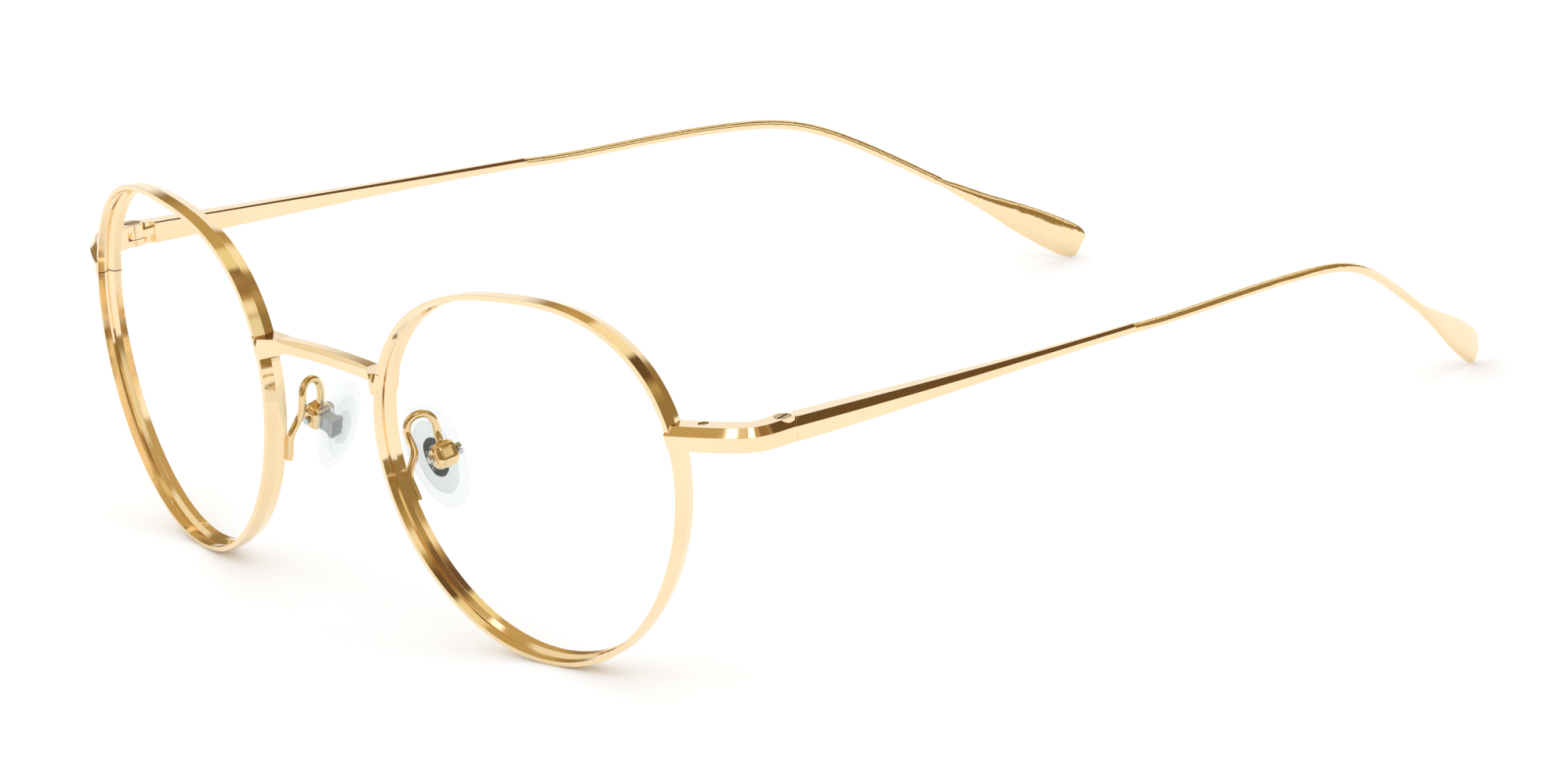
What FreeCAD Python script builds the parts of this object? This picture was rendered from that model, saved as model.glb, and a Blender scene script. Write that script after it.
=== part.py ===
import FreeCAD, Part
import math
import os

from FreeCAD import Vector

# Eyeglasses, in millimetres: +Z up, the front faces -Y, +X is the wearer's left.
# Everything is drawn for the wearer's left side and mirrored for the right.

FRONT_SHIFT = -70.7          # moves the middle of the whole length to y = 0

# Lens outline: a rounded square, a little wider than tall
LENS_RADIUS = 23.5
LENS_WIDEN = 1.15
LENS_LEAN = 0.12
LENS_BROW = 0.85
LENS_CHEEK = -0.20
LENS_SQUARE = -0.17
LENS_CENTRE_X = 36.6
LENS_CENTRE_Z = 23.3
WRAP_DEG = 9.8
BASE_CURVE = 130.0

# Rim wire section: outward from the outline, and back from the front edge
RIM_DEPTH = 2.85
RIM_LIP = -0.35
RIM_EDGE = 0.25
RIM_RIDGE = 0.50
GROOVE_BOTTOM = 0.05
GROOVE_HALF_WIDTH = 0.6
RIM_SPLIT_Z = 30.0
RIM_SPLIT_GAP = 0.12

# Lens
LENS_FRONT_DEPTH = 0.6
LENS_THICKNESS = 1.5
LENS_BODY = -0.42
LENS_BEVEL = -0.03
LENS_BEVEL_HALF_WIDTH = 0.6

# Bridge bar and its soldered feet
BRIDGE_HALF = 9.3
BRIDGE_HEIGHT = 1.6
BRIDGE_DEPTH = 1.9
BRIDGE_TOP_MIDDLE = 32.45
BRIDGE_TOP_END = 32.15
BRIDGE_FRONT = -0.57
BRIDGE_CHAMFER = 0.45
BRIDGE_REAR_CUT = 0.25
FOOT_START = 9.3
FOOT_MIDDLE = 11.7
FOOT_END = 13.4
FOOT_DROP = 0.95
FOOT_PROUD = 0.22
FOOT_REAR = 1.45
FOOT_NECK_DROP = 0.35
DIMPLE_RADIUS = 0.75
DIMPLE_LENGTH = 2.5

# End piece bar: outer face path in plan, top and bottom
END_PATH = (
    (57.3, 5.22), (62.4, 7.5), (65.0, 8.9), (67.0, 10.1), (68.6, 11.6), (69.4, 13.4), (69.55, 15.5),
    (69.56, 17.4),
)
END_BOTTOM = 29.55
END_SIDE_TOP = 31.3
END_TOP = 32.25
END_CHAMFER = 0.85
END_THICKNESS = 3.2

# Hinge
HINGE_X = 67.6
HINGE_Y = 16.95
KNUCKLE_RADIUS = 1.5
TONGUE_RADIUS = 1.4
TONGUE_BOTTOM = 30.43
TONGUE_TOP = 31.37
HINGE_GAP = 0.03
HINGE_CLEARANCE = 0.10
BUTT_PLANE = 0.5
BUTT_RELIEF = 0.8
RELIEF_SIDE = 0.8
HINGE_SCREW_RADIUS = 0.5
SCREW_HEAD_RADIUS = 1.0
SCREW_HEAD_HEIGHT = 0.45
RUNNING_CLEARANCE = 0.05
SEAT_CLEARANCE = 0.02

# Lock screw that draws the two rim ends together
LOCK_X = 61.9
LOCK_Y = 9.9
LOCK_RADIUS = 0.62
LOCK_HEAD_RADIUS = 0.8
LOCK_HEAD_HEIGHT = 0.4
BLOCK_TOP = 30.55
BLOCK_START = -0.58
BLOCK_LENGTH = 8.2
LOCK_SINK = 0.12
FRONT_LEAF = 0.9
TRIM_TOP = 1.12
TRIM_BOTTOM = 2.2

# Temple
TEMPLE_X = 68.0
TEMPLE_Y = 16.5
TEMPLE_Z = 30.85
TEMPLE_TOE_IN = -0.083
TEMPLE_BOW = -0.0005
TEMPLE_DROP = -0.0695
TEMPLE_BEND_AT = 95.0
TEMPLE_BEND_HALF = 9.0
TAIL = Vector(-16.3, 31.3, -22.8)
PLATE_END = 56.0
WIRE_RADIUS = 0.58
TIP_THICKNESS = 1.15
TIP_WIDTHS = (
    (0, 1.16), (0.12, 1.25), (0.3, 2.0), (0.5, 3.2), (0.72, 4.3), (0.88, 4.6), (0.97, 4.0), (1, 3.1),
)

# Nose pad: centre, the way to the rear, the way up, the way to its box
PAD_CENTRE = Vector(10.35, 7.25, 19.2)
PAD_YAW = -8.7
PAD_ROLL = -24.0
PAD_TILT = 7.5
PAD_HALF_HEIGHT = 6.5
PAD_HALF_WIDTH = 3.6
PAD_EGG = 0.14
PAD_BACK = 0.9
PAD_FACE = -1.1
PIVOT_OUT = 3.2
PIVOT_REAR = -0.4
PIVOT_UP = -0.2
BOX_SIZE = 3.2
BOX_DEPTH = 2.9
BOX_ROUND = 1.1
CORE_WIDTH = 1.5
CORE_RADIUS = 1.0
CORE_PLATE_HALF_WIDTH = 0.85
CORE_PLATE_HALF_HEIGHT = 1.25
PAD_SCREW_RADIUS = 0.45
PAD_SCREW_HEAD = 0.75

# Pad arm wire
ARM_RADIUS = 0.47
ARM_KINK = (12.0, 2.95, 21.1)
ARM_LOOP_START = (10.95, 2.95, 23.65)
ARM_LOOP_END = (12.1, 6.35, 23.65)
ARM_LOOP_RISE = 1.75
FOOT_ANGLES = (198.5, 195.0, 191.0)
FOOT_OUT = 0.35
FOOT_BACK = 0.49


def outline_radius(angle):
    """Radius of the lens outline; the angle runs from the temple side upwards."""
    return (
        LENS_RADIUS
        + LENS_WIDEN * math.cos(2 * angle)
        + LENS_LEAN * math.sin(2 * angle)
        + LENS_CHEEK * math.cos(3 * angle)
        + LENS_BROW * math.sin(3 * angle)
        + LENS_SQUARE * math.cos(4 * angle)
    )


def place_eye(point):
    """Moves a point from the lens's own axes to the frame."""
    wrap = math.radians(WRAP_DEG)
    x = point.x * math.cos(wrap) - point.y * math.sin(wrap)
    y = point.x * math.sin(wrap) + point.y * math.cos(wrap)
    return Vector(x + LENS_CENTRE_X, y, point.z + LENS_CENTRE_Z)


def rim_point(angle, grow, depth):
    """A point on the rim: grow is outward of the outline, depth is back along the curve."""
    r = outline_radius(angle) + grow
    sag = BASE_CURVE - math.sqrt(BASE_CURVE ** 2 - r ** 2)
    k = 1 - depth / BASE_CURVE
    return place_eye(Vector(r * math.cos(angle) * k, sag + depth, r * math.sin(angle) * k))


def spline(points, closed=False):
    curve = Part.BSplineCurve()
    curve.interpolate(Points=points, PeriodicFlag=closed)
    return curve.toShape()


def solid_of(faces):
    shell = Part.makeShell(faces)
    shell.sewShape()
    solid = Part.makeSolid(Part.makeShell(shell.Faces))
    if solid.Volume < 0:
        solid.reverse()
    return solid


def polygon_face(points):
    return Part.Face(Part.makePolygon(list(points) + [points[0]]))


def faceted_bar(stations):
    """A bar with crisp lengthwise edges through a list of matching section polygons."""
    edges = []
    for corner in range(len(stations[0])):
        edges.append(spline([station[corner] for station in stations]))
    faces = []
    for corner, edge in enumerate(edges):
        faces.append(Part.makeRuledSurface(edge, edges[(corner + 1) % len(edges)]))
    faces.append(polygon_face(stations[0]))
    faces.append(polygon_face(stations[-1]))
    return solid_of(faces)


def ring_at(centre, along, across, width, depth):
    """Oval ring square to a direction: its width runs along across, its depth the other way."""
    across = (across - along * across.dot(along)).normalize()
    other = along.cross(across)
    points = []
    for i in range(16):
        a = 2 * math.pi * i / 16
        points.append(centre + across * (width / 2 * math.cos(a)) + other * (depth / 2 * math.sin(a)))
    return Part.Wire([spline(points, True)])


def round_wire(path, radius, count):
    """Round wire along a path, lofted through rings that keep one side facing the same way."""
    across = Vector(1, 0, 0)
    rings = []
    for i in range(count + 1):
        u = path.FirstParameter + (path.LastParameter - path.FirstParameter) * i / count
        along = path.tangentAt(u)
        across = (across - along * across.dot(along)).normalize()
        rings.append(ring_at(path.valueAt(u), along, across, 2 * radius, 2 * radius))
    return Part.makeLoft(rings, True, False)


def cylinder(radius, start, end):
    axis = end - start
    return Part.makeCylinder(radius, axis.Length, start, axis)


def box_between(low, high):
    return Part.makeBox(high[0] - low[0], high[1] - low[1], high[2] - low[2], Vector(*low))


# ---------------------------------------------------------------- rim and lens

def split_angle():
    """The angle at which the outline, on the temple side, reaches the height of the split."""
    angle = 0.0
    while rim_point(angle, 0, 0).z < RIM_SPLIT_Z:
        angle += 0.001
    return angle


def make_rim():
    """Grooved wire bent round the lens, its two ends a hair apart behind the end piece."""
    middle = RIM_DEPTH / 2
    section = (
        (RIM_LIP, 0.0), (RIM_EDGE, 0.0), (RIM_RIDGE, middle), (RIM_EDGE, RIM_DEPTH), (RIM_LIP, RIM_DEPTH),
        (RIM_LIP, middle + GROOVE_HALF_WIDTH), (GROOVE_BOTTOM, middle), (RIM_LIP, middle - GROOVE_HALF_WIDTH),
    )
    gap = RIM_SPLIT_GAP / LENS_RADIUS
    start = split_angle() + gap / 2
    turn = 2 * math.pi - gap
    steps = 72
    stations = []
    for step in range(steps + 1):
        angle = start + turn * step / steps
        stations.append([rim_point(angle, grow, depth) for grow, depth in section])
    return faceted_bar(stations)


def lens_wall_loop(grow, depth):
    angles = [2 * math.pi * i / 72 for i in range(72)]
    return spline([rim_point(angle, grow, depth) for angle in angles], True)


def lens_end_loop(grow, y):
    """The lens outline drawn on a flat plane square to the lens's own axis."""
    points = []
    for i in range(72):
        angle = 2 * math.pi * i / 72
        r = outline_radius(angle) + grow
        points.append(place_eye(Vector(r * math.cos(angle), y, r * math.sin(angle))))
    return spline(points, True)


def make_lens():
    """Curved lens with a V edge that sits in the rim's groove."""
    middle = RIM_DEPTH / 2
    loops = [
        lens_end_loop(LENS_BODY, -2),
        lens_wall_loop(LENS_BODY, middle - LENS_BEVEL_HALF_WIDTH),
        lens_wall_loop(LENS_BEVEL, middle),
        lens_wall_loop(LENS_BODY, middle + LENS_BEVEL_HALF_WIDTH),
        lens_end_loop(LENS_BODY, 8),
    ]
    faces = [Part.makeRuledSurface(a, b) for a, b in zip(loops, loops[1:])]
    faces.append(Part.Face(Part.Wire(loops[0])))
    faces.append(Part.Face(Part.Wire(loops[-1])))
    drum = solid_of(faces)
    centre = place_eye(Vector(0, BASE_CURVE, 0))
    outer = Part.makeSphere(BASE_CURVE - LENS_FRONT_DEPTH, centre)
    inner = Part.makeSphere(BASE_CURVE - LENS_FRONT_DEPTH - LENS_THICKNESS, centre)
    return drum.common(outer).cut(inner)


# ---------------------------------------------------------------- bridge

def bridge_section(x):
    """Chamfered bar section at one place along the bridge."""
    along = abs(x) / BRIDGE_HALF
    top = BRIDGE_TOP_MIDDLE + (BRIDGE_TOP_END - BRIDGE_TOP_MIDDLE) * along ** 2
    bottom = top - BRIDGE_HEIGHT
    rear = BRIDGE_FRONT + BRIDGE_DEPTH
    cut = BRIDGE_CHAMFER * (1 - 0.6 * along ** 4)
    return [
        Vector(x, BRIDGE_FRONT, bottom),
        Vector(x, BRIDGE_FRONT, top - cut),
        Vector(x, BRIDGE_FRONT + cut, top),
        Vector(x, rear - BRIDGE_REAR_CUT, top),
        Vector(x, rear, top - BRIDGE_REAR_CUT),
        Vector(x, rear, bottom),
    ]


def foot_section(x, front, rear, bottom, top):
    return [Vector(x, front, bottom), Vector(x, front, top), Vector(x, rear, top), Vector(x, rear, bottom)]


def foot_front(x):
    """The rim's front edge beside the foot, and a little further forward."""
    return rim_front_y(x) - FOOT_PROUD


def rim_front_y(x):
    """How far back the rim's front edge is, at a distance from the middle and at the bridge's height."""
    beside = [rim_point(math.radians(a), RIM_EDGE, 0) for a in range(150, 172, 2)]
    level = min(beside, key=lambda point: abs(point.z - BRIDGE_TOP_END + 1))
    return level.y + (x - level.x) * math.sin(math.radians(WRAP_DEG))


def bridge_foot(side, rim_core):
    """Flared foot that wraps the outside of the rim and laps over its front and back edges."""
    rear = BRIDGE_FRONT + BRIDGE_DEPTH
    top = BRIDGE_TOP_END
    bottom = top - BRIDGE_HEIGHT
    low = bottom - FOOT_DROP
    near = foot_section(side * FOOT_START, BRIDGE_FRONT, rear, bottom - FOOT_NECK_DROP, top)
    middle = foot_section(side * FOOT_MIDDLE, foot_front(FOOT_MIDDLE), FOOT_REAR, low, top)
    end = foot_section(side * FOOT_END, foot_front(FOOT_END), FOOT_REAR, low, top)
    foot = faceted_bar([near, middle]).fuse(faceted_bar([middle, end]))
    x = FOOT_END - 1.1
    mouth = Vector(side * x, foot_front(x) - 0.35, top + 0.3)
    down = Vector(side * 0.1, -0.3, -0.95).normalize()
    dimple = cylinder(DIMPLE_RADIUS, mouth, mouth + down * DIMPLE_LENGTH)
    return foot.cut(dimple).cut(rim_core)


def make_bridge(rim_cores):
    """One bar between the rims, with a foot at each end."""
    steps = 12
    reach = BRIDGE_HALF
    stations = [bridge_section(-reach + 2 * reach * i / steps) for i in range(steps + 1)]
    bar = faceted_bar(stations)
    for side, core in zip((1, -1), rim_cores):
        bar = bar.fuse(bridge_foot(side, core))
    return bar.removeSplitter()


def make_rim_core():
    """The rim and the space it rings, used only to trim what is soldered round its outside."""
    middle = RIM_DEPTH / 2
    wall = ((RIM_LIP, 0.0), (RIM_EDGE, 0.0), (RIM_RIDGE, middle), (RIM_EDGE, RIM_DEPTH), (RIM_LIP, RIM_DEPTH))
    loops = [lens_end_loop(RIM_LIP, -6)]
    loops += [lens_wall_loop(grow, depth) for grow, depth in wall]
    loops.append(lens_end_loop(RIM_LIP, 12))
    faces = [Part.makeRuledSurface(a, b) for a, b in zip(loops, loops[1:])]
    faces.append(Part.Face(Part.Wire(loops[0])))
    faces.append(Part.Face(Part.Wire(loops[-1])))
    return solid_of(faces)


# ---------------------------------------------------------------- end piece, closing block, screws

def end_stations():
    """Section polygons of the end piece along its outer face path."""
    path = [Vector(x, y, 0) for x, y in END_PATH]
    curve = Part.BSplineCurve()
    curve.interpolate(Points=path)
    first, last = curve.FirstParameter, curve.LastParameter
    stations = []
    steps = 16
    for i in range(steps + 1):
        u = first + (last - first) * i / steps
        p = curve.value(u)
        t = curve.tangent(u)[0]
        inward = Vector(-t.y, t.x, 0)
        stations.append([
            p + Vector(0, 0, END_BOTTOM),
            p + Vector(0, 0, END_SIDE_TOP),
            p + inward * END_CHAMFER + Vector(0, 0, END_TOP),
            p + inward * END_THICKNESS + Vector(0, 0, END_TOP),
            p + inward * END_THICKNESS + Vector(0, 0, END_BOTTOM),
        ])
    return stations


def end_trim():
    """What is cut off the end piece at the rim: a leaning face, sloping further in below."""
    start = Vector(END_PATH[0][0], END_PATH[0][1], 0)
    along = (Vector(END_PATH[1][0], END_PATH[1][1], 0) - start).normalize()
    below = END_BOTTOM - 2.5
    above = END_TOP + 2
    outline = (
        (-6, below), (TRIM_BOTTOM + 0.9, below), (TRIM_BOTTOM, END_BOTTOM),
        (TRIM_TOP, END_SIDE_TOP + 0.2), (TRIM_TOP, above), (-6, above),
    )
    sweep = Vector(-0.8, 0.6, 0)
    points = [start + along * s + Vector(0, 0, z) - sweep * 4 for s, z in outline]
    return polygon_face(points).extrude(sweep * 8)


def tongue_space():
    """Room for the temple's tongue between the knuckles, open to the rear and to the inside."""
    reach = TONGUE_RADIUS + HINGE_CLEARANCE
    bottom = TONGUE_BOTTOM - HINGE_GAP
    top = TONGUE_TOP + HINGE_GAP
    space = cylinder(reach, hinge_at(bottom), hinge_at(top))
    rear = box_between((HINGE_X - 4, HINGE_Y, bottom), (HINGE_X + reach, HINGE_Y + 4, top))
    inside = box_between((HINGE_X - 4, HINGE_Y - reach, bottom), (HINGE_X, HINGE_Y + 4, top))
    return space.fuse(rear).fuse(inside)


def make_end_piece(rim_core):
    """Bar from the rim round the corner to the two hinge knuckles."""
    knuckles = cylinder(KNUCKLE_RADIUS, hinge_at(END_BOTTOM), hinge_at(END_TOP))
    bar = faceted_bar(end_stations()).fuse(knuckles).cut(tongue_space()).cut(end_trim())
    bores = (
        (HINGE_SCREW_RADIUS, hinge_at(END_BOTTOM - 1), hinge_at(END_TOP + 1)),
        (SCREW_HEAD_RADIUS, hinge_at(END_TOP - SCREW_HEAD_HEIGHT), hinge_at(END_TOP + 1)),
        (LOCK_RADIUS, lock_at(END_BOTTOM - 1), lock_at(END_TOP + 1)),
    )
    for radius, start, end in bores:
        bar = bar.cut(cylinder(radius + SEAT_CLEARANCE, start, end))
    return bar.cut(rim_core).cut(block_space(SEAT_CLEARANCE))


def hinge_at(z):
    return Vector(HINGE_X, HINGE_Y, z)


def lock_at(z):
    return Vector(LOCK_X, LOCK_Y, z)


def block_space(grow):
    """The pocket under the end piece, behind its front leaf, that the closing block fills."""
    front = [Vector(x, y, 0) for x, y in END_PATH[:2]]
    along = (front[1] - front[0]).normalize()
    inward = Vector(-along.y, along.x, 0)
    start = front[0] + inward * (FRONT_LEAF - grow) + along * BLOCK_START
    length = along * (BLOCK_LENGTH + grow)
    corners = [start, start + length, start + length + inward * 5, start + inward * 5]
    points = [Vector(c.x, c.y, END_BOTTOM - 1) for c in corners]
    return polygon_face(points).extrude(Vector(0, 0, BLOCK_TOP + grow - END_BOTTOM + 1))


def make_closing_block(rim_core):
    """Small block on the rim's lower end that the lock screw pulls up against the end piece."""
    block = faceted_bar(end_stations()).common(block_space(0)).cut(rim_core).cut(end_trim())
    shank = cylinder(LOCK_RADIUS + SEAT_CLEARANCE, lock_at(END_BOTTOM - 1), lock_at(END_TOP))
    seat = lock_at(END_BOTTOM + LOCK_HEAD_HEIGHT)
    head = cylinder(LOCK_HEAD_RADIUS + SEAT_CLEARANCE, lock_at(END_BOTTOM - 1), seat)
    return block.cut(shank).cut(head)


def slotted_screw(head_face, tip, head_radius, head_height, shank_radius):
    """Slotted machine screw, its head sunk flush with head_face."""
    down = (tip - head_face).normalize()
    head = cylinder(head_radius, head_face, head_face + down * head_height)
    shank = cylinder(shank_radius, head_face, tip)
    side = down.cross(Vector(1, 0.3, 0.2)).normalize()
    other = down.cross(side)
    half = head_radius * 1.1
    corners = [
        head_face + side * half + other * 0.14, head_face + side * half - other * 0.14,
        head_face - side * half - other * 0.14, head_face - side * half + other * 0.14,
    ]
    slot = polygon_face(corners).extrude(down * head_height * 0.5)
    return head.fuse(shank).cut(slot).removeSplitter()


def make_lock_screw():
    """Enters from below; its end shows in the top of the end piece."""
    end = lock_at(END_TOP - LOCK_SINK)
    return slotted_screw(lock_at(END_BOTTOM), end, LOCK_HEAD_RADIUS, LOCK_HEAD_HEIGHT, LOCK_RADIUS)


def make_hinge_screw():
    """Enters from above, and is the temple's hinge pin."""
    end = hinge_at(END_BOTTOM + 0.1)
    return slotted_screw(hinge_at(END_TOP), end, SCREW_HEAD_RADIUS, SCREW_HEAD_HEIGHT, HINGE_SCREW_RADIUS)


# ---------------------------------------------------------------- temple

def temple_centre(y):
    """Centre of the temple at a distance back from the hinge, up to the bend."""
    x = TEMPLE_X + TEMPLE_TOE_IN * y + TEMPLE_BOW * y * y
    return Vector(x, TEMPLE_Y + y, TEMPLE_Z + TEMPLE_DROP * y)


def plate_section(y):
    """Eight sided section of the temple plate: full at the hinge, a small octagon where the wire starts."""
    c = temple_centre(y)
    fall = min(1.0, max(0.0, y / PLATE_END))
    blend = fall ** 2 * (3 - 2 * fall)
    half_w = 1.6 * (1 - blend) + WIRE_RADIUS * blend
    half_h = 1.37 * (1 - 0.25 * fall) * (1 - blend) + WIRE_RADIUS * blend
    small = 0.15 * (1 - blend) + 0.34 * blend
    big_x = END_CHAMFER * (1 - blend) + 0.34 * blend
    big_z = 0.9 * (1 - blend) + 0.34 * blend
    return [
        c + Vector(half_w, 0, -half_h + small), c + Vector(half_w, 0, half_h - big_z),
        c + Vector(half_w - big_x, 0, half_h), c + Vector(-half_w + small, 0, half_h),
        c + Vector(-half_w, 0, half_h - small), c + Vector(-half_w, 0, -half_h + small),
        c + Vector(-half_w + small, 0, -half_h), c + Vector(half_w - small, 0, -half_h),
    ]


def wire_path():
    """Centre line of the wire from the plate's end, round the bend."""
    start = temple_centre(PLATE_END - 0.5)
    middle = temple_centre((PLATE_END + TEMPLE_BEND_AT - TEMPLE_BEND_HALF) / 2)
    bend_in = temple_centre(TEMPLE_BEND_AT - TEMPLE_BEND_HALF)
    corner = temple_centre(TEMPLE_BEND_AT)
    tail_way = Vector(TAIL).normalize()
    bend_out = corner + tail_way * TEMPLE_BEND_HALF
    apex = (bend_in + bend_out) * 0.25 + corner * 0.5
    end = corner + TAIL * 0.5
    curve = Part.BSplineCurve()
    curve.interpolate(Points=[start, middle, bend_in, apex, bend_out, end])
    return curve.toShape()


def make_tip():
    """Flattened end of the tail, widening to a rounded paddle."""
    corner = temple_centre(TEMPLE_BEND_AT)
    along = Vector(TAIL).normalize()
    start = corner + TAIL * 0.48
    length = TAIL.Length * 0.52
    rings = []
    for t, width in TIP_WIDTHS:
        thick = TIP_THICKNESS if t < 0.9 else TIP_THICKNESS - (t - 0.9) * 5
        rings.append(ring_at(start + along * (length * t), along, Vector(0, 0, 1), width, thick))
    return Part.makeLoft(rings, True, False)


def make_temple():
    """Plate, wire and flattened tip in one piece, with the hinge tongue at the front."""
    steps = 22
    stations = [plate_section(-2.2 + (PLATE_END + 2.2) * i / steps) for i in range(steps + 1)]
    around = KNUCKLE_RADIUS + HINGE_CLEARANCE
    below = END_BOTTOM - 4
    above = END_TOP + 4
    relief_x = HINGE_X - RELIEF_SIDE
    relief_y = HINGE_Y + around + BUTT_RELIEF
    front = box_between((HINGE_X - 6, HINGE_Y - 6, below), (HINGE_X + 6, HINGE_Y + BUTT_PLANE, above))
    relief = box_between((HINGE_X - 6, HINGE_Y - 6, below), (relief_x, relief_y, above))
    barrel = cylinder(around, hinge_at(below), hinge_at(above))
    plate = faceted_bar(stations).cut(front).cut(relief).cut(barrel)
    tongue = cylinder(TONGUE_RADIUS, hinge_at(TONGUE_BOTTOM), hinge_at(TONGUE_TOP))
    low = (HINGE_X - TONGUE_RADIUS + 0.15, HINGE_Y, TONGUE_BOTTOM)
    high = (HINGE_X + TONGUE_RADIUS - 0.2, relief_y + 1.0, TONGUE_TOP)
    tongue = tongue.fuse(box_between(low, high))
    hole = cylinder(HINGE_SCREW_RADIUS + RUNNING_CLEARANCE, hinge_at(END_BOTTOM - 1), hinge_at(END_TOP + 1))
    wire = round_wire(wire_path(), WIRE_RADIUS, 24)
    return plate.fuse(tongue).cut(hole).fuse(wire).fuse(make_tip())


# ---------------------------------------------------------------- nose pad and its arm

def pad_turn():
    """Rotation from the pad's own axes to the frame's."""
    yaw = FreeCAD.Rotation(Vector(0, 0, 1), PAD_YAW)
    tilt = FreeCAD.Rotation(Vector(1, 0, 0), PAD_TILT)
    roll = FreeCAD.Rotation(Vector(0, 1, 0), PAD_ROLL)
    return yaw.multiply(tilt).multiply(roll)


def place_pad(shape):
    """Moves a shape drawn with X out to the box, Y to the rear and Z up."""
    moved = shape.copy()
    moved.Placement = FreeCAD.Placement(PAD_CENTRE, pad_turn()).multiply(shape.Placement)
    return moved


def pad_ring(x, scale):
    """Outline of the pad at one depth: a rounded D, wider at the top."""
    power = 2 / 2.7
    points = []
    for i in range(36):
        a = 2 * math.pi * i / 36
        c, s = math.cos(a), math.sin(a)
        half = PAD_HALF_WIDTH * (1 + PAD_EGG * s) * scale
        y = math.copysign(abs(c) ** power, c) * half
        z = math.copysign(abs(s) ** power, s) * PAD_HALF_HEIGHT * (scale + 1) / 2
        points.append(Vector(x, y, z))
    return Part.Wire([spline(points, True)])


def pivot_at(y):
    """A point on the pad screw's axis, y along it."""
    return Vector(PIVOT_OUT, PIVOT_REAR + y, PIVOT_UP)


def pivot_box(low, high):
    """A box given by its corners from the pad's pivot."""
    corner = pivot_at(0)
    return box_between(tuple(corner + Vector(*low)), tuple(corner + Vector(*high)))


def core_shape():
    """Stiff insert moulded into the pad: a plate, and a drilled tongue that stands in the box."""
    half = CORE_WIDTH / 2
    plate = pivot_box((-PIVOT_OUT - 0.1, -CORE_PLATE_HALF_WIDTH, -CORE_PLATE_HALF_HEIGHT),
                      (-PIVOT_OUT + 0.5, CORE_PLATE_HALF_WIDTH, CORE_PLATE_HALF_HEIGHT))
    tongue = pivot_box((-PIVOT_OUT + 0.4, -half, -CORE_RADIUS), (0, half, CORE_RADIUS))
    end = cylinder(CORE_RADIUS, pivot_at(-half), pivot_at(half))
    hole = cylinder(PAD_SCREW_RADIUS + RUNNING_CLEARANCE, pivot_at(-3), pivot_at(3))
    return plate.fuse(tongue).fuse(end).cut(hole).removeSplitter()


def make_pad():
    """Soft clear pad, domed towards the nose, moulded round its stiff insert."""
    layers = ((PAD_BACK, 0.82), (0.35, 0.97), (-0.2, 1.0), (-0.75, 0.86), (PAD_FACE, 0.5))
    rings = [pad_ring(x, scale) for x, scale in layers]
    body = Part.makeLoft(rings, True, False)
    return place_pad(body.cut(core_shape()))


def box_body():
    """Rounded block on the end of the pad arm, before its slot and hole are cut."""
    half = BOX_SIZE / 2
    body = pivot_box((-BOX_DEPTH / 2, -half, -half), (BOX_DEPTH / 2, half, half))
    return body.makeFillet(BOX_ROUND, body.Edges)


def make_pad_box():
    """Box with a slot for the pad's tongue and a cross hole for the screw."""
    half = CORE_WIDTH / 2 + 0.05
    slot = pivot_box((-3, -half, -CORE_RADIUS - 0.25), (CORE_RADIUS + 0.08, half, CORE_RADIUS + 0.25))
    hole = cylinder(PAD_SCREW_RADIUS + SEAT_CLEARANCE, pivot_at(-4), pivot_at(4))
    return place_pad(box_body().cut(slot).cut(hole))


def make_pad_screw():
    """Small slotted screw, the pad's rocking axis."""
    half = BOX_SIZE / 2
    shank = cylinder(PAD_SCREW_RADIUS, pivot_at(-half - 0.5), pivot_at(half + 0.1))
    head = cylinder(PAD_SCREW_HEAD, pivot_at(half + 0.02), pivot_at(half + 0.6))
    slot = pivot_box((-1, half + 0.35, -0.12), (1, half + 1, 0.12))
    return place_pad(shank.fuse(head).cut(slot).removeSplitter())


def arm_path():
    """Centre line of the pad arm: foot along the rim's back edge, kink, round loop, box."""
    points = [rim_point(math.radians(a), FOOT_OUT, RIM_DEPTH + FOOT_BACK) for a in FOOT_ANGLES]
    points.append(Vector(*ARM_KINK))
    start = Vector(*ARM_LOOP_START)
    end = Vector(*ARM_LOOP_END)
    middle = (start + end) * 0.5
    for degrees in (0, 45, 90, 135, 180):
        a = math.radians(degrees)
        rise = Vector(0, 0, ARM_LOOP_RISE * math.sin(a))
        points.append(middle + (start - middle) * math.cos(a) + rise)
    box_top = pivot_at(0.2) + Vector(0, 0, BOX_SIZE / 2 + SEAT_CLEARANCE)
    points.append(PAD_CENTRE + pad_turn().multVec(box_top + Vector(0, 0, 0.6)))
    points.append(PAD_CENTRE + pad_turn().multVec(box_top))
    return spline(points)


def make_pad_arm():
    """Bent wire from its foot on the back of the rim, up and over to the box."""
    return round_wire(arm_path(), ARM_RADIUS, 36)


# ---------------------------------------------------------------- the whole

def mirrored(shape):
    return shape.mirror(Vector(0, 0, 0), Vector(1, 0, 0))


def build():
    core = make_rim_core()
    left = {
        "rim": make_rim(),
        "lens": make_lens(),
        "end_piece": make_end_piece(core),
        "closing_block": make_closing_block(core),
        "rim_lock_screw": make_lock_screw(),
        "hinge_screw": make_hinge_screw(),
        "temple": make_temple(),
        "pad_arm": make_pad_arm(),
        "pad_box": make_pad_box(),
        "pad_screw": make_pad_screw(),
        "nose_pad": make_pad(),
        "pad_core": place_pad(core_shape()),
    }
    nodes = {"bridge": make_bridge((core, mirrored(core)))}
    for name, shape in left.items():
        nodes[name + "_left"] = shape
        nodes[name + "_right"] = mirrored(shape)
    return nodes


def main():
    os.makedirs("parts", exist_ok=True)
    for name, shape in build().items():
        shape.translate(Vector(0, FRONT_SHIFT, 0))
        shape.exportStep("parts/" + name + ".step")


main()
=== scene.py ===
import math

import bpy
from mathutils import Matrix


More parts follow.
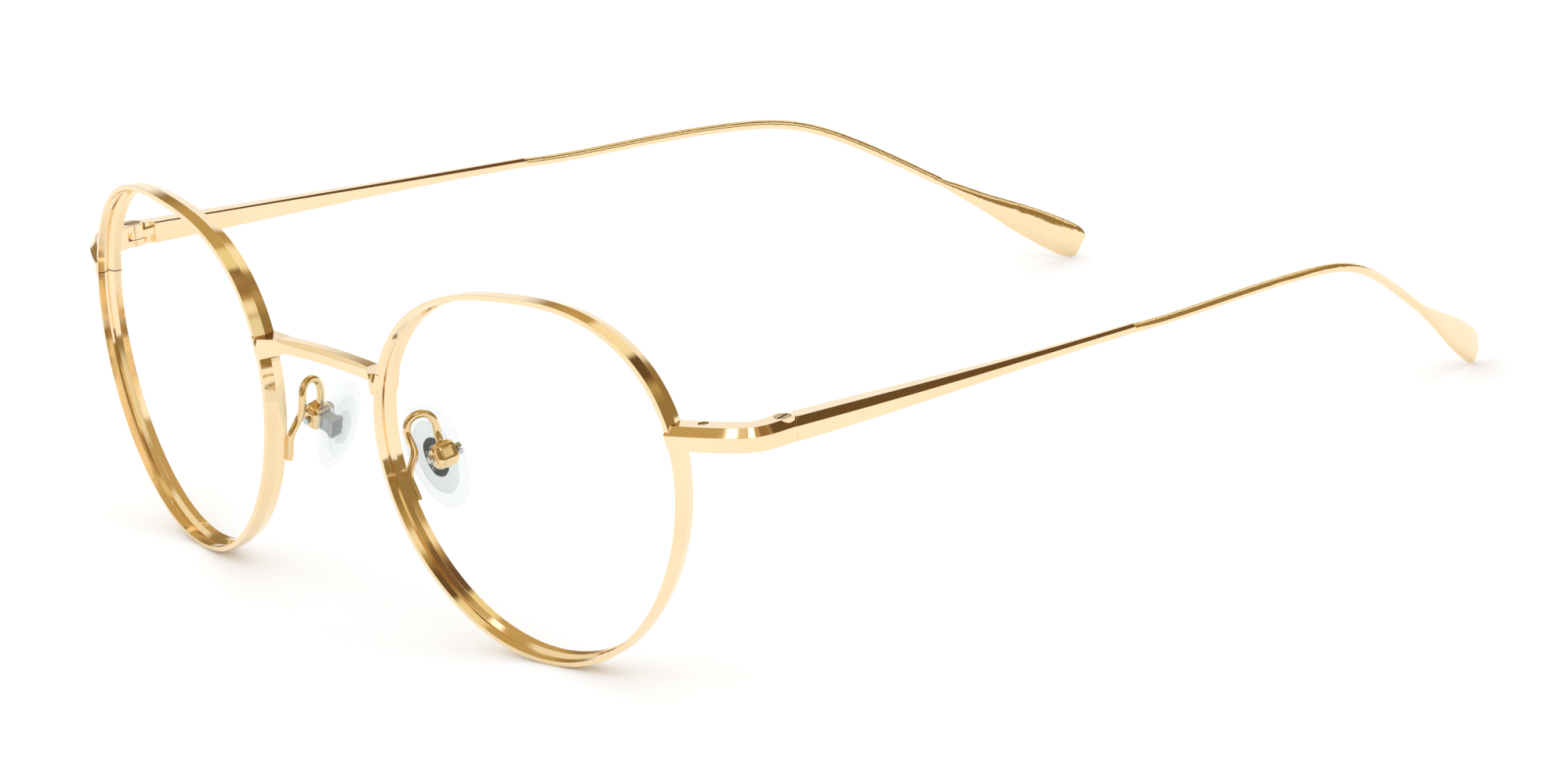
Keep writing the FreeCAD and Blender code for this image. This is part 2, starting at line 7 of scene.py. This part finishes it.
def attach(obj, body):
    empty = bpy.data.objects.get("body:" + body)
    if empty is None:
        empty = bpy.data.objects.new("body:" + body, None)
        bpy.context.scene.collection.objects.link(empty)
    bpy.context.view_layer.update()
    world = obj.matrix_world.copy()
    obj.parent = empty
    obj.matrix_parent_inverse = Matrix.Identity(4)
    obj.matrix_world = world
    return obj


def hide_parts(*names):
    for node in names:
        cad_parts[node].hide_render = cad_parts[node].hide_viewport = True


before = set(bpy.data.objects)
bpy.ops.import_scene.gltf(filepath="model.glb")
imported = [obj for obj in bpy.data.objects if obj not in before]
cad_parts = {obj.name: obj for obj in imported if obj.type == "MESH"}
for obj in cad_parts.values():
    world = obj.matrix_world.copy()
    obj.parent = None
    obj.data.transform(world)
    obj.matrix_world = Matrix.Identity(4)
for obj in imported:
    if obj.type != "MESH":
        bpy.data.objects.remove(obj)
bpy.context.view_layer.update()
bpy.ops.object.select_all(action="DESELECT")

# ---------------------------------------------------------------- rims
# Each rim is nickel silver wire, drawn through a die with a groove for the lens, rolled
# round and brazed to its end piece, then buffed to a mirror and plated in light gold.

PLATE_LIGHT = "#FDE9C6"
PLATE_DEEP = "#F7DAA9"
PLATE_DRIFT = 60.0
MOP_HAZE = 900.0
MOP_GLOSS = (0.03, 0.11)
MOP_SWELL = 0.00002
EDGE_BREAK = 0.00007


def linear(colour):
    """The linear RGBA of an sRGB hex colour."""
    values = [int(colour[i:i + 2], 16) / 255 for i in (1, 3, 5)]
    return [v / 12.92 if v <= 0.04045 else ((v + 0.055) / 1.055) ** 2.4 for v in values] + [1.0]


def add_node(tree, kind, settings, links):
    """Adds a node, sets its properties and sockets, and links other nodes' outputs to its inputs."""
    node = tree.nodes.new(kind)
    for name, value in settings.items():
        if isinstance(name, str) and hasattr(node, name):
            setattr(node, name, value)
        else:
            node.inputs[name].default_value = value
    for name, source in links.items():
        tree.links.new(source, node.inputs[name])
    return node


def new_material(name):
    """A material with no nodes yet, and its node tree."""
    material = bpy.data.materials.new(name)
    material.use_nodes = True
    material.node_tree.nodes.clear()
    return material, material.node_tree


def dress(material, *names):
    """Puts a material on the named CAD nodes, left and right."""
    for name in names:
        for node in (name, name + "_left", name + "_right"):
            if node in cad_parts:
                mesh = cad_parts[node].data
                mesh.materials.clear()
                mesh.materials.append(material)


# Electroplated gold over a buffed base: a clear mirror whose tone drifts over a couple of
# centimetres, a haze of fine mop marks a millimetre apart, and edges softened by the mop.
buffed_gold, tree = new_material("buffed_gold_plate")
place = add_node(tree, "ShaderNodeTexCoord", {}, {})
drift = add_node(tree, "ShaderNodeTexNoise", {"Scale": PLATE_DRIFT, "Detail": 2.0},
                 {"Vector": place.outputs["Object"]})
tone = add_node(tree, "ShaderNodeMix", {"data_type": "RGBA", 6: linear(PLATE_LIGHT), 7: linear(PLATE_DEEP)},
                {0: drift.outputs["Fac"]})
haze = add_node(tree, "ShaderNodeTexNoise", {"Scale": MOP_HAZE, "Detail": 4.0},
                {"Vector": place.outputs["Object"]})
gloss = add_node(tree, "ShaderNodeMapRange", {"To Min": MOP_GLOSS[0], "To Max": MOP_GLOSS[1]},
                 {"Value": haze.outputs["Fac"]})
edge = add_node(tree, "ShaderNodeBevel", {"samples": 4, "Radius": EDGE_BREAK}, {})
swell = add_node(tree, "ShaderNodeBump", {"Strength": 0.2, "Distance": MOP_SWELL},
                 {"Height": haze.outputs["Fac"], "Normal": edge.outputs["Normal"]})
shader = add_node(tree, "ShaderNodeBsdfPrincipled", {"Metallic": 1.0},
                  {"Base Color": tone.outputs[2], "Roughness": gloss.outputs["Result"],
                   "Normal": swell.outputs["Normal"]})
add_node(tree, "ShaderNodeOutputMaterial", {}, {"Surface": shader.outputs["BSDF"]})
dress(buffed_gold, "rim")

# ---------------------------------------------------------------- lenses
# Plano lenses of allyl resin, cast between glass moulds, edged to a V that sits in the
# rim's groove, and coated against reflections, so that hardly more than their edge shows.

# Cast resin with an antireflective coat: nearly all light goes straight through, with a
# weak glint that grows at a shallow angle, a little uneven where the dip coat ran.
COAT_RUN = 40.0
COAT_GLINT = (0.04, 0.07)
lens_resin, tree = new_material("coated_cast_resin")
place = add_node(tree, "ShaderNodeTexCoord", {}, {})
run = add_node(tree, "ShaderNodeTexNoise", {"Scale": COAT_RUN, "Detail": 1.0},
               {"Vector": place.outputs["Object"]})
facing = add_node(tree, "ShaderNodeLayerWeight", {"Blend": 0.1}, {})
coat = add_node(tree, "ShaderNodeMapRange", {"To Min": COAT_GLINT[0], "To Max": COAT_GLINT[1]},
                {"Value": run.outputs["Fac"]})
glint = add_node(tree, "ShaderNodeMath", {"operation": "MULTIPLY"},
                 {0: facing.outputs["Facing"], 1: coat.outputs["Result"]})
clear = add_node(tree, "ShaderNodeBsdfTransparent", {"Color": linear("#FFFFFF")}, {})
shine = add_node(tree, "ShaderNodeBsdfAnisotropic", {"Roughness": 0.02, "Color": linear("#FBFFFC")}, {})
lens_surface = add_node(tree, "ShaderNodeMixShader", {},
                        {0: glint.outputs[0], 1: clear.outputs[0], 2: shine.outputs[0]})
add_node(tree, "ShaderNodeOutputMaterial", {}, {"Surface": lens_surface.outputs[0]})
dress(lens_resin, "lens")

# ---------------------------------------------------------------- bridge
# One pressed bar with a flared foot brazed over the nose side of each rim, finished and
# plated with the rims, so it has their gold.

dress(buffed_gold, "bridge")

# ---------------------------------------------------------------- end pieces and closing blocks
# Pressed bars brazed to the rims' upper ends, drilled and slotted into hinge knuckles. The
# small blocks under them are brazed to the rims' lower ends. All are buffed and plated alike.

dress(buffed_gold, "end_piece", "closing_block")

# ---------------------------------------------------------------- hinge and lock screws
# Slotted screws turned from brass bar on a lathe and flash plated. The hinge screws are the
# hinges' pins, and the lock screws draw each rim closed on its lens.

SCREW_GOLD = "#E6C78C"
SCREW_WORN = "#B8955C"
# Near-black colour of the painted shade in the slot and in the gap round the screw head.
SCREW_PAINTED_SHADE = "#2E1E0E"
DRIVER_WEAR = 1400.0
TURNING_PITCH = 0.00012
HINGE_AXIS = (0.0676, -0.05375)
HINGE_HEAD_RADIUS = 0.001
HINGE_HEAD_TOP = 0.03225
LOCK_AXIS = (0.0619, -0.0608)
LOCK_SHANK_RADIUS = 0.00062
LOCK_END = 0.03213
RING_WIDTH = 0.00013
SLOT_START = 0.00002
SLOT_DARK = 0.0001


# Lathe turned brass under thin plate: rings round the axis an eighth of a millimetre apart,
# coarser than life so that they show, darker where the driver has worn it, and painted shade,
# nearly black, in the slot and round the rim of the head, standing in for the shade there.
SCREWS = (
    ("hinge_screw", HINGE_AXIS, HINGE_HEAD_RADIUS, HINGE_HEAD_TOP),
    ("rim_lock_screw", LOCK_AXIS, LOCK_SHANK_RADIUS, LOCK_END),
)
for name, (axis_x, axis_y), rim_radius, top in SCREWS:
    turned, tree = new_material("turned_brass_" + name)
    place = add_node(tree, "ShaderNodeTexCoord", {}, {})
    split = add_node(tree, "ShaderNodeSeparateXYZ", {}, {0: place.outputs["Object"]})
    either_side = add_node(tree, "ShaderNodeMath", {"operation": "ABSOLUTE"}, {0: split.outputs["X"]})
    flat = add_node(tree, "ShaderNodeCombineXYZ", {}, {"X": either_side.outputs[0], "Y": split.outputs["Y"]})
    radius = add_node(tree, "ShaderNodeVectorMath", {"operation": "DISTANCE", 1: (axis_x, axis_y, 0.0)},
                      {0: flat.outputs[0]})
    turns = add_node(tree, "ShaderNodeMath", {"operation": "MULTIPLY", 1: 2 * math.pi / TURNING_PITCH},
                     {0: radius.outputs["Value"]})
    ring = add_node(tree, "ShaderNodeMath", {"operation": "SINE"}, {0: turns.outputs[0]})
    wear = add_node(tree, "ShaderNodeTexNoise", {"Scale": DRIVER_WEAR, "Detail": 3.0},
                    {"Vector": place.outputs["Object"]})
    bare = add_node(tree, "ShaderNodeMix",
                    {"data_type": "RGBA", 6: linear(SCREW_GOLD), 7: linear(SCREW_WORN)},
                    {0: wear.outputs["Fac"]})
    # Painted shade: near black outside a ring at the rim of the head, and everything more than a tenth of a
    # millimetre below the top, which takes in the slot.
    edge = add_node(tree, "ShaderNodeMapRange", {"From Min": rim_radius - RING_WIDTH, "From Max": rim_radius},
                    {"Value": radius.outputs["Value"]})
    sunk = add_node(tree, "ShaderNodeMapRange", {"From Min": top - SLOT_START, "From Max": top - SLOT_DARK},
                    {"Value": split.outputs["Z"]})
    painted_shade = add_node(tree, "ShaderNodeMath", {"operation": "MAXIMUM"},
                    {0: edge.outputs["Result"], 1: sunk.outputs["Result"]})
    tone = add_node(tree, "ShaderNodeMix", {"data_type": "RGBA", 7: linear(SCREW_PAINTED_SHADE)},
                    {0: painted_shade.outputs[0], 6: bare.outputs[2]})
    cut = add_node(tree, "ShaderNodeBump", {"Strength": 0.35, "Distance": 0.00001},
                   {"Height": ring.outputs[0]})
    shader = add_node(tree, "ShaderNodeBsdfPrincipled", {"Metallic": 1.0, "Roughness": 0.18},
                      {"Base Color": tone.outputs[2], "Normal": cut.outputs["Normal"]})
    add_node(tree, "ShaderNodeOutputMaterial", {}, {"Surface": shader.outputs["BSDF"]})
    dress(turned, name)

# ---------------------------------------------------------------- temples
# Each temple is one length of nickel silver: forged flat behind the hinge, drawn to round
# wire, bent down behind the ear and flattened to a paddle, then buffed and plated.

dress(buffed_gold, "temple")

# ---------------------------------------------------------------- pad arms and pad boxes
# Soft wire bent by hand on a jig and brazed behind the rim, with a pressed box on its end.
# Too small for the buffing wheel, they are tumbled before plating.

# Tumbled and plated: the same gold, a little deeper, with a softer gloss and a faint
# hammered unevenness under half a millimetre across from the tumbling stones.
TUMBLED_LIGHT = "#F4DCAE"
TUMBLED_DEEP = "#E9CC98"
STONE_MARKS = 2200.0
tumbled_gold, tree = new_material("tumbled_gold_plate")
place = add_node(tree, "ShaderNodeTexCoord", {}, {})
stones = add_node(tree, "ShaderNodeTexNoise", {"Scale": STONE_MARKS, "Detail": 2.0},
                  {"Vector": place.outputs["Object"]})
tone = add_node(tree, "ShaderNodeMix",
                {"data_type": "RGBA", 6: linear(TUMBLED_LIGHT), 7: linear(TUMBLED_DEEP)},
                {0: stones.outputs["Fac"]})
gloss = add_node(tree, "ShaderNodeMapRange", {"To Min": 0.06, "To Max": 0.18},
                 {"Value": stones.outputs["Fac"]})
dents = add_node(tree, "ShaderNodeBump", {"Strength": 0.3, "Distance": 0.00002},
                 {"Height": stones.outputs["Fac"]})
shader = add_node(tree, "ShaderNodeBsdfPrincipled", {"Metallic": 1.0},
                  {"Base Color": tone.outputs[2], "Roughness": gloss.outputs["Result"],
                   "Normal": dents.outputs["Normal"]})
add_node(tree, "ShaderNodeOutputMaterial", {}, {"Surface": shader.outputs["BSDF"]})
dress(tumbled_gold, "pad_arm", "pad_box")

# ---------------------------------------------------------------- pad screws and pad inserts
# The pads rock on tiny stainless steel screws. Inside each pad is a stamped steel insert,
# whose tongue stands in the box.

# Bare stainless steel, cold headed and left bright, with a fine grain of drawing marks.
STEEL_LIGHT = "#DADBDC"
STEEL_DARK = "#B4B6B9"
DRAWN_GRAIN = 5000.0
bright_steel, tree = new_material("cold_headed_steel")
place = add_node(tree, "ShaderNodeTexCoord", {}, {})
grain = add_node(tree, "ShaderNodeTexNoise", {"Scale": DRAWN_GRAIN, "Detail": 3.0},
                 {"Vector": place.outputs["Object"]})
tone = add_node(tree, "ShaderNodeMix", {"data_type": "RGBA", 6: linear(STEEL_LIGHT), 7: linear(STEEL_DARK)},
                {0: grain.outputs["Fac"]})
gloss = add_node(tree, "ShaderNodeMapRange", {"To Min": 0.14, "To Max": 0.3}, {"Value": grain.outputs["Fac"]})
shader = add_node(tree, "ShaderNodeBsdfPrincipled", {"Metallic": 1.0},
                  {"Base Color": tone.outputs[2], "Roughness": gloss.outputs["Result"]})
add_node(tree, "ShaderNodeOutputMaterial", {}, {"Surface": shader.outputs["BSDF"]})
dress(bright_steel, "pad_screw")

# Stamped steel, dull from the press, greyer than the screws.
INSERT_LIGHT = "#AEB2B8"
INSERT_DARK = "#858A92"
PRESS_SCALE = 3000.0
dull_steel, tree = new_material("stamped_steel")
place = add_node(tree, "ShaderNodeTexCoord", {}, {})
scale = add_node(tree, "ShaderNodeTexNoise", {"Scale": PRESS_SCALE, "Detail": 2.0},
                 {"Vector": place.outputs["Object"]})
tone = add_node(tree, "ShaderNodeMix", {"data_type": "RGBA", 6: linear(INSERT_LIGHT), 7: linear(INSERT_DARK)},
                {0: scale.outputs["Fac"]})
shader = add_node(tree, "ShaderNodeBsdfPrincipled", {"Metallic": 1.0, "Roughness": 0.35},
                  {"Base Color": tone.outputs[2]})
add_node(tree, "ShaderNodeOutputMaterial", {}, {"Surface": shader.outputs["BSDF"]})
dress(dull_steel, "pad_core")

# ---------------------------------------------------------------- nose pads
# Push-in pads of clear silicone, moulded soft round their inserts: a domed face towards the
# nose, and a flat back with a raised lip. Known fault: each step below redraws the whole
# piece, so a pad is five closed shells, one inside another, and most are inside out.

PAD_CENTRE = (0.01035, -0.06345, 0.0192)
PAD_YAW = -8.7
PAD_TILT = 7.5
PAD_ROLL = -24.0
PAD_HALF_HEIGHT = 0.0071
PAD_HALF_WIDTH = 0.0039
PAD_BODY = 0.0009
PAD_DOME = 0.0004
PAD_LIP = 0.00013
PAD_EGG = 0.14
PAD_SQUARE = 0.12


def select_faces(piece, low, high):
    """Marks the faces square to X whose middles lie between two distances along X.

    Edit mode picks by vertices here, so the marks are lost and the whole piece stays selected.
    """
    bpy.ops.object.mode_set(mode="OBJECT")
    for face in piece.data.polygons:
        face.select = low < face.center.x < high and abs(face.normal.x) > 0.9
    bpy.ops.object.mode_set(mode="EDIT")


def step_in(along, width, height):
    """Draws the selection out along X and scales it, by shares of its width and height."""
    bpy.ops.mesh.extrude_region_move(TRANSFORM_OT_translate={"value": (along, 0, 0)})
    bpy.ops.transform.resize(value=(1, width, height))


def finish(piece, *modifiers):
    """Adds modifiers, given as (kind, settings), and applies them."""
    for kind, settings in modifiers:
        modifier = piece.modifiers.new(kind.lower(), kind)
        for name, value in settings.items():
            setattr(modifier, name, value)
        bpy.ops.object.modifier_apply(modifier=modifier.name)


# Clear silicone straight from a fine mould: nearly all light goes straight through, with a
# faint cloudiness that is thicker to the eye along the edges, and a soft gloss whose
# ripples, two millimetres apart, come from the mould.
SILICONE_CLOUD = 0.03
SILICONE_EDGE = 0.26
MOULD_RIPPLE = 500.0
silicone, tree = new_material("moulded_silicone")
place = add_node(tree, "ShaderNodeTexCoord", {}, {})
ripple = add_node(tree, "ShaderNodeTexNoise", {"Scale": MOULD_RIPPLE, "Detail": 1.0},
                  {"Vector": place.outputs["Object"]})
gloss = add_node(tree, "ShaderNodeMapRange", {"To Min": 0.12, "To Max": 0.24},
                 {"Value": ripple.outputs["Fac"]})
tone = add_node(tree, "ShaderNodeMix", {"data_type": "RGBA", 6: linear("#FFFFFF"), 7: linear("#F4F7F8")},
                {0: ripple.outputs["Fac"]})
facing = add_node(tree, "ShaderNodeLayerWeight", {"Blend": 0.35}, {})
cloud = add_node(tree, "ShaderNodeMapRange", {"To Min": SILICONE_CLOUD, "To Max": SILICONE_EDGE},
                 {"Value": facing.outputs["Facing"]})
clear = add_node(tree, "ShaderNodeBsdfTransparent", {"Color": linear("#FDFEFE")}, {})
skin = add_node(tree, "ShaderNodeBsdfPrincipled", {"IOR": 1.41, "Specular IOR Level": 0.35},
                {"Base Color": tone.outputs[2], "Roughness": gloss.outputs["Result"]})
surface = add_node(tree, "ShaderNodeMixShader", {},
                   {0: cloud.outputs["Result"], 1: clear.outputs[0], 2: skin.outputs[0]})
add_node(tree, "ShaderNodeOutputMaterial", {}, {"Surface": surface.outputs[0]})

bpy.ops.mesh.primitive_cylinder_add(vertices=32, radius=1.0, depth=1.0, rotation=(0, math.radians(90), 0))
left_pad = bpy.context.object
left_pad.name = "clear_pad_left"
left_pad.scale = (PAD_HALF_HEIGHT, PAD_HALF_WIDTH, PAD_BODY)
bpy.ops.object.transform_apply(location=False, rotation=True, scale=True)
bpy.ops.object.mode_set(mode="EDIT")

# towards the nose
select_faces(left_pad, -1, 0)
step_in(-PAD_DOME, 0.9, 0.93)
step_in(-PAD_DOME / 2, 0.68, 0.72)
step_in(-PAD_DOME / 6, 0.5, 0.5)
step_in(0, 0.4, 0.4)

# towards the box
select_faces(left_pad, 0, 1)
bpy.ops.transform.resize(value=(1, 0.93, 0.95))
bpy.ops.transform.translate(value=(PAD_DOME, 0, 0))
step_in(0, 0.82, 0.88)
step_in(-PAD_LIP, 0.96, 0.97)
step_in(0, 0.62, 0.6)
step_in(PAD_LIP, 0.93, 0.94)
step_in(0, 0.8, 0.8)
step_in(0, 0.4, 0.4)
bpy.ops.object.mode_set(mode="OBJECT")
finish(
    left_pad,
    ("CAST", {"cast_type": "CUBOID", "factor": PAD_SQUARE, "use_x": False}),
    ("SIMPLE_DEFORM", {"deform_method": "TAPER", "deform_axis": "Z", "factor": PAD_EGG, "lock_x": True}),
    ("SUBSURF", {"levels": 2, "render_levels": 2}),
)
left_pad.data.transform(
    Matrix.Translation(PAD_CENTRE)
    @ Matrix.Rotation(math.radians(PAD_YAW), 4, "Z")
    @ Matrix.Rotation(math.radians(PAD_TILT), 4, "X")
    @ Matrix.Rotation(math.radians(PAD_ROLL), 4, "Y")
)
bpy.ops.object.shade_smooth()
left_pad.data.materials.append(silicone)
bpy.ops.object.duplicate()
right_pad = bpy.context.object
right_pad.name = "clear_pad_right"
right_pad.data.transform(Matrix.Diagonal((-1, 1, 1, 1)))
right_pad.data.flip_normals()
for pad, name in ((left_pad, "left"), (right_pad, "right")):
    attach(pad, "pad_" + name)
    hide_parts("nose_pad_" + name)
bpy.ops.object.select_all(action="DESELECT")

# ---------------------------------------------------------------- table and studio
# A plain white laminate table in a pale tent, which gives soft light from all round.

# Matt white laminate, with a barely seen mottle a few centimetres across.
bpy.ops.mesh.primitive_plane_add(size=30.0, location=(0, 0, 0))
table = bpy.context.object
table.name = "table"
laminate, tree = new_material("matt_white_laminate")
place = add_node(tree, "ShaderNodeTexCoord", {}, {})
mottle = add_node(tree, "ShaderNodeTexNoise", {"Scale": 25.0, "Detail": 1.0},
                  {"Vector": place.outputs["Object"]})
tone = add_node(tree, "ShaderNodeMix", {"data_type": "RGBA", 6: linear("#F9F9F9"), 7: linear("#F7F7F7")},
                {0: mottle.outputs["Fac"]})
shader = add_node(tree, "ShaderNodeBsdfPrincipled", {"Roughness": 0.9, "Specular IOR Level": 0.0},
                  {"Base Color": tone.outputs[2]})
add_node(tree, "ShaderNodeOutputMaterial", {}, {"Surface": shader.outputs["BSDF"]})
table.data.materials.append(laminate)

# What the mirror finish shows of the studio: warm walls low down, brown flags that draw the
# edges, and white softboxes. Each is a round patch, given by its azimuth from the front towards
# the wearer's left, elevation, half width and soft edge, in degrees, then colour and strength.
TENT_BRIGHTNESS = 1.14
WALL = "#98804F"
UPPER = "#C3A870"
PATCHES = (
    (-140, 2, 24, 5, "#FFFFFF", 1.0),
    (0, 16, 15, 8, "#F0E8D0", 1.0),
    (108, 27, 9, 6, "#EDE8CC", 1.0),
    (160, 50, 17, 8, "#6A5034", 1.0),
    (113, 60, 9, 6, "#96744A", 1.0),
    (35, 44, 12, 8, "#785A38", 1.0),
    (-60, 38, 20, 8, "#F4EEDC", 1.0),
    (-164, 46, 14, 6, "#FFF8DC", 1.0),
    (120, 41, 7, 5, "#FFF6DC", 1.0),
    (180, 67, 9, 6, "#F2E6B8", 1.0),
    (75, 38, 11, 6, "#FFFFFF", 1.2),
    (14, 64, 9, 6, "#E6D8AE", 1.0),
    (-6, 60, 4.5, 4, "#FFFFFF", 2.2),
    (56, 67, 6, 4, "#FFFFFF", 2.2),
)
world = bpy.data.worlds.new("studio")
bpy.context.scene.world = world
world.use_nodes = True
tree = world.node_tree
tree.nodes.clear()
place = add_node(tree, "ShaderNodeTexCoord", {}, {})
split = add_node(tree, "ShaderNodeSeparateXYZ", {}, {0: place.outputs["Generated"]})
height = add_node(tree, "ShaderNodeMapRange",
                  {"From Min": math.sin(math.radians(20)), "From Max": math.sin(math.radians(34)),
                   "interpolation_type": "SMOOTHSTEP"}, {"Value": split.outputs["Z"]})
sky = add_node(tree, "ShaderNodeMix", {"data_type": "RGBA", 6: linear(WALL), 7: linear(UPPER)},
               {0: height.outputs["Result"]})
for azimuth, elevation, half_width, edge, colour, strength in PATCHES:
    a, e = math.radians(azimuth), math.radians(elevation)
    towards = (math.sin(a) * math.cos(e), -math.cos(a) * math.cos(e), math.sin(e))
    nearness = add_node(tree, "ShaderNodeVectorMath", {"operation": "DOT_PRODUCT", 1: towards},
                        {0: place.outputs["Generated"]})
    patch = add_node(tree, "ShaderNodeMapRange",
                     {"From Min": math.cos(math.radians(half_width + edge / 2)),
                      "From Max": math.cos(math.radians(half_width - edge / 2)),
                      "interpolation_type": "SMOOTHSTEP"}, {"Value": nearness.outputs["Value"]})
    shade = [c * strength for c in linear(colour)[:3]] + [1.0]
    sky = add_node(tree, "ShaderNodeMix", {"data_type": "RGBA", 7: shade},
                   {0: patch.outputs["Result"], 6: sky.outputs[2]})
studio = add_node(tree, "ShaderNodeBackground", {}, {"Color": sky.outputs[2]})
tent = add_node(tree, "ShaderNodeBackground", {"Color": linear("#FFFFFF"), "Strength": TENT_BRIGHTNESS}, {})
ray = add_node(tree, "ShaderNodeLightPath", {}, {})
mirrored = add_node(tree, "ShaderNodeMath", {"operation": "SUBTRACT", "use_clamp": True},
                    {0: ray.outputs["Is Glossy Ray"], 1: ray.outputs["Is Transmission Ray"]})
seen = add_node(tree, "ShaderNodeMixShader", {},
                {0: mirrored.outputs[0], 1: tent.outputs[0], 2: studio.outputs[0]})
add_node(tree, "ShaderNodeOutputWorld", {}, {"Surface": seen.outputs[0]})

# ---------------------------------------------------------------- camera
# A long lens from the front and the wearer's left, held a little off level.

CAMERA_PLACE = (0.908694, -0.648149, 0.351882)
CAMERA_AZIMUTH = 54.725
CAMERA_ELEVATION = 17.097
CAMERA_ROLL = -6.223
FOCAL_LENGTH = 218.065
bpy.ops.object.camera_add()
camera = bpy.context.object
camera.matrix_world = (
    Matrix.Translation(CAMERA_PLACE)
    @ Matrix.Rotation(math.radians(CAMERA_AZIMUTH), 4, "Z")
    @ Matrix.Rotation(math.radians(90 - CAMERA_ELEVATION), 4, "X")
    @ Matrix.Rotation(math.radians(CAMERA_ROLL), 4, "Z")
)
camera.data.lens = FOCAL_LENGTH
camera.data.sensor_width = 36.0
camera.data.clip_start = 0.01
bpy.context.scene.camera = camera
bpy.context.scene.view_settings.view_transform = "Standard"
